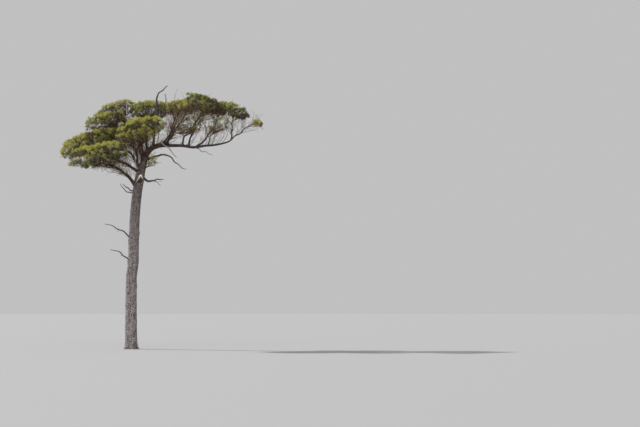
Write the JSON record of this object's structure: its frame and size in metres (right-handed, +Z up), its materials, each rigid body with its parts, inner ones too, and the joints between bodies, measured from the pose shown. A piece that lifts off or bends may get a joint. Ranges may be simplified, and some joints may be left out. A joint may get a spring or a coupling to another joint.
{
  "type": "scots pine tree",
  "caption": "Mature open-grown Scots pine: a tall clear bole with root flare, bare dead limbs, and a flat, lopsided crown of needle pads on long boughs.",
  "frame": {"origin": "centre of the flat cut under the trunk, at ground level", "axes": "+Z up along the bole, +X towards the side that the long limb reaches to, +Y to the back of the tree as pictured"},
  "size_m": [12.3905, 7.7188, 16.4752],
  "materials": {
    "bark": "deeply fissured grey-brown bark",
    "bough_bark": "thin scaly bark, grey-brown to orange-brown",
    "dead_wood": "weathered grey bare wood",
    "needles": "matt yellow-green needles"
  },
  "bodies": {
    "root": {"trunk": "bark", "long_limb_root": "bough_bark", "long_limb_middle": "bough_bark", "long_limb_end": "bough_bark", "right_bough_first": "bough_bark", "right_bough_second": "bough_bark", "right_bough_third": "bough_bark", "right_bough_fourth": "bough_bark", "front_right_bough": "bough_bark", "back_right_bough": "bough_bark", "far_back_bough": "bough_bark", "under_bough_inner": "bough_bark", "under_bough_outer": "bough_bark", "left_low_bough": "bough_bark", "left_middle_bough": "bough_bark", "left_upright": "bough_bark", "left_high_bough": "bough_bark", "front_bough": "bough_bark", "top_bough": "bough_bark", "back_left_bough": "bough_bark", "back_bough": "bough_bark", "sprig_bough": "bough_bark", "dead_leader": "dead_wood", "dead_leader_top": "dead_wood", "dead_leader_fork": "dead_wood", "grey_snag": "dead_wood", "dead_bough": "dead_wood", "dead_bough_end": "dead_wood", "dead_hanger": "dead_wood", "dead_twig": "dead_wood", "sprig_twig": "dead_wood", "dead_elbow": "dead_wood", "dead_elbow_arm": "dead_wood", "dead_elbow_fork": "dead_wood", "dead_stub_front": "dead_wood", "dead_stub_back": "dead_wood", "dead_branch_upper": "dead_wood", "dead_branch_lower": "dead_wood", "pad_left_low": "needles", "pad_left": "needles", "pad_left_high": "needles", "pad_upper_left": "needles", "pad_top": "needles", "pad_front": "needles", "pad_right_inner": "needles", "pad_right_top": "needles", "pad_right_middle": "needles", "pad_right_outer": "needles", "pad_tip": "needles", "pad_under_inner": "needles", "pad_under_outer": "needles", "pad_sprig": "needles", "pad_front_right": "needles", "pad_back_right": "needles", "pad_far_back": "needles", "pad_back_left": "needles", "pad_back": "needles"}
  },
  "joints": []
}
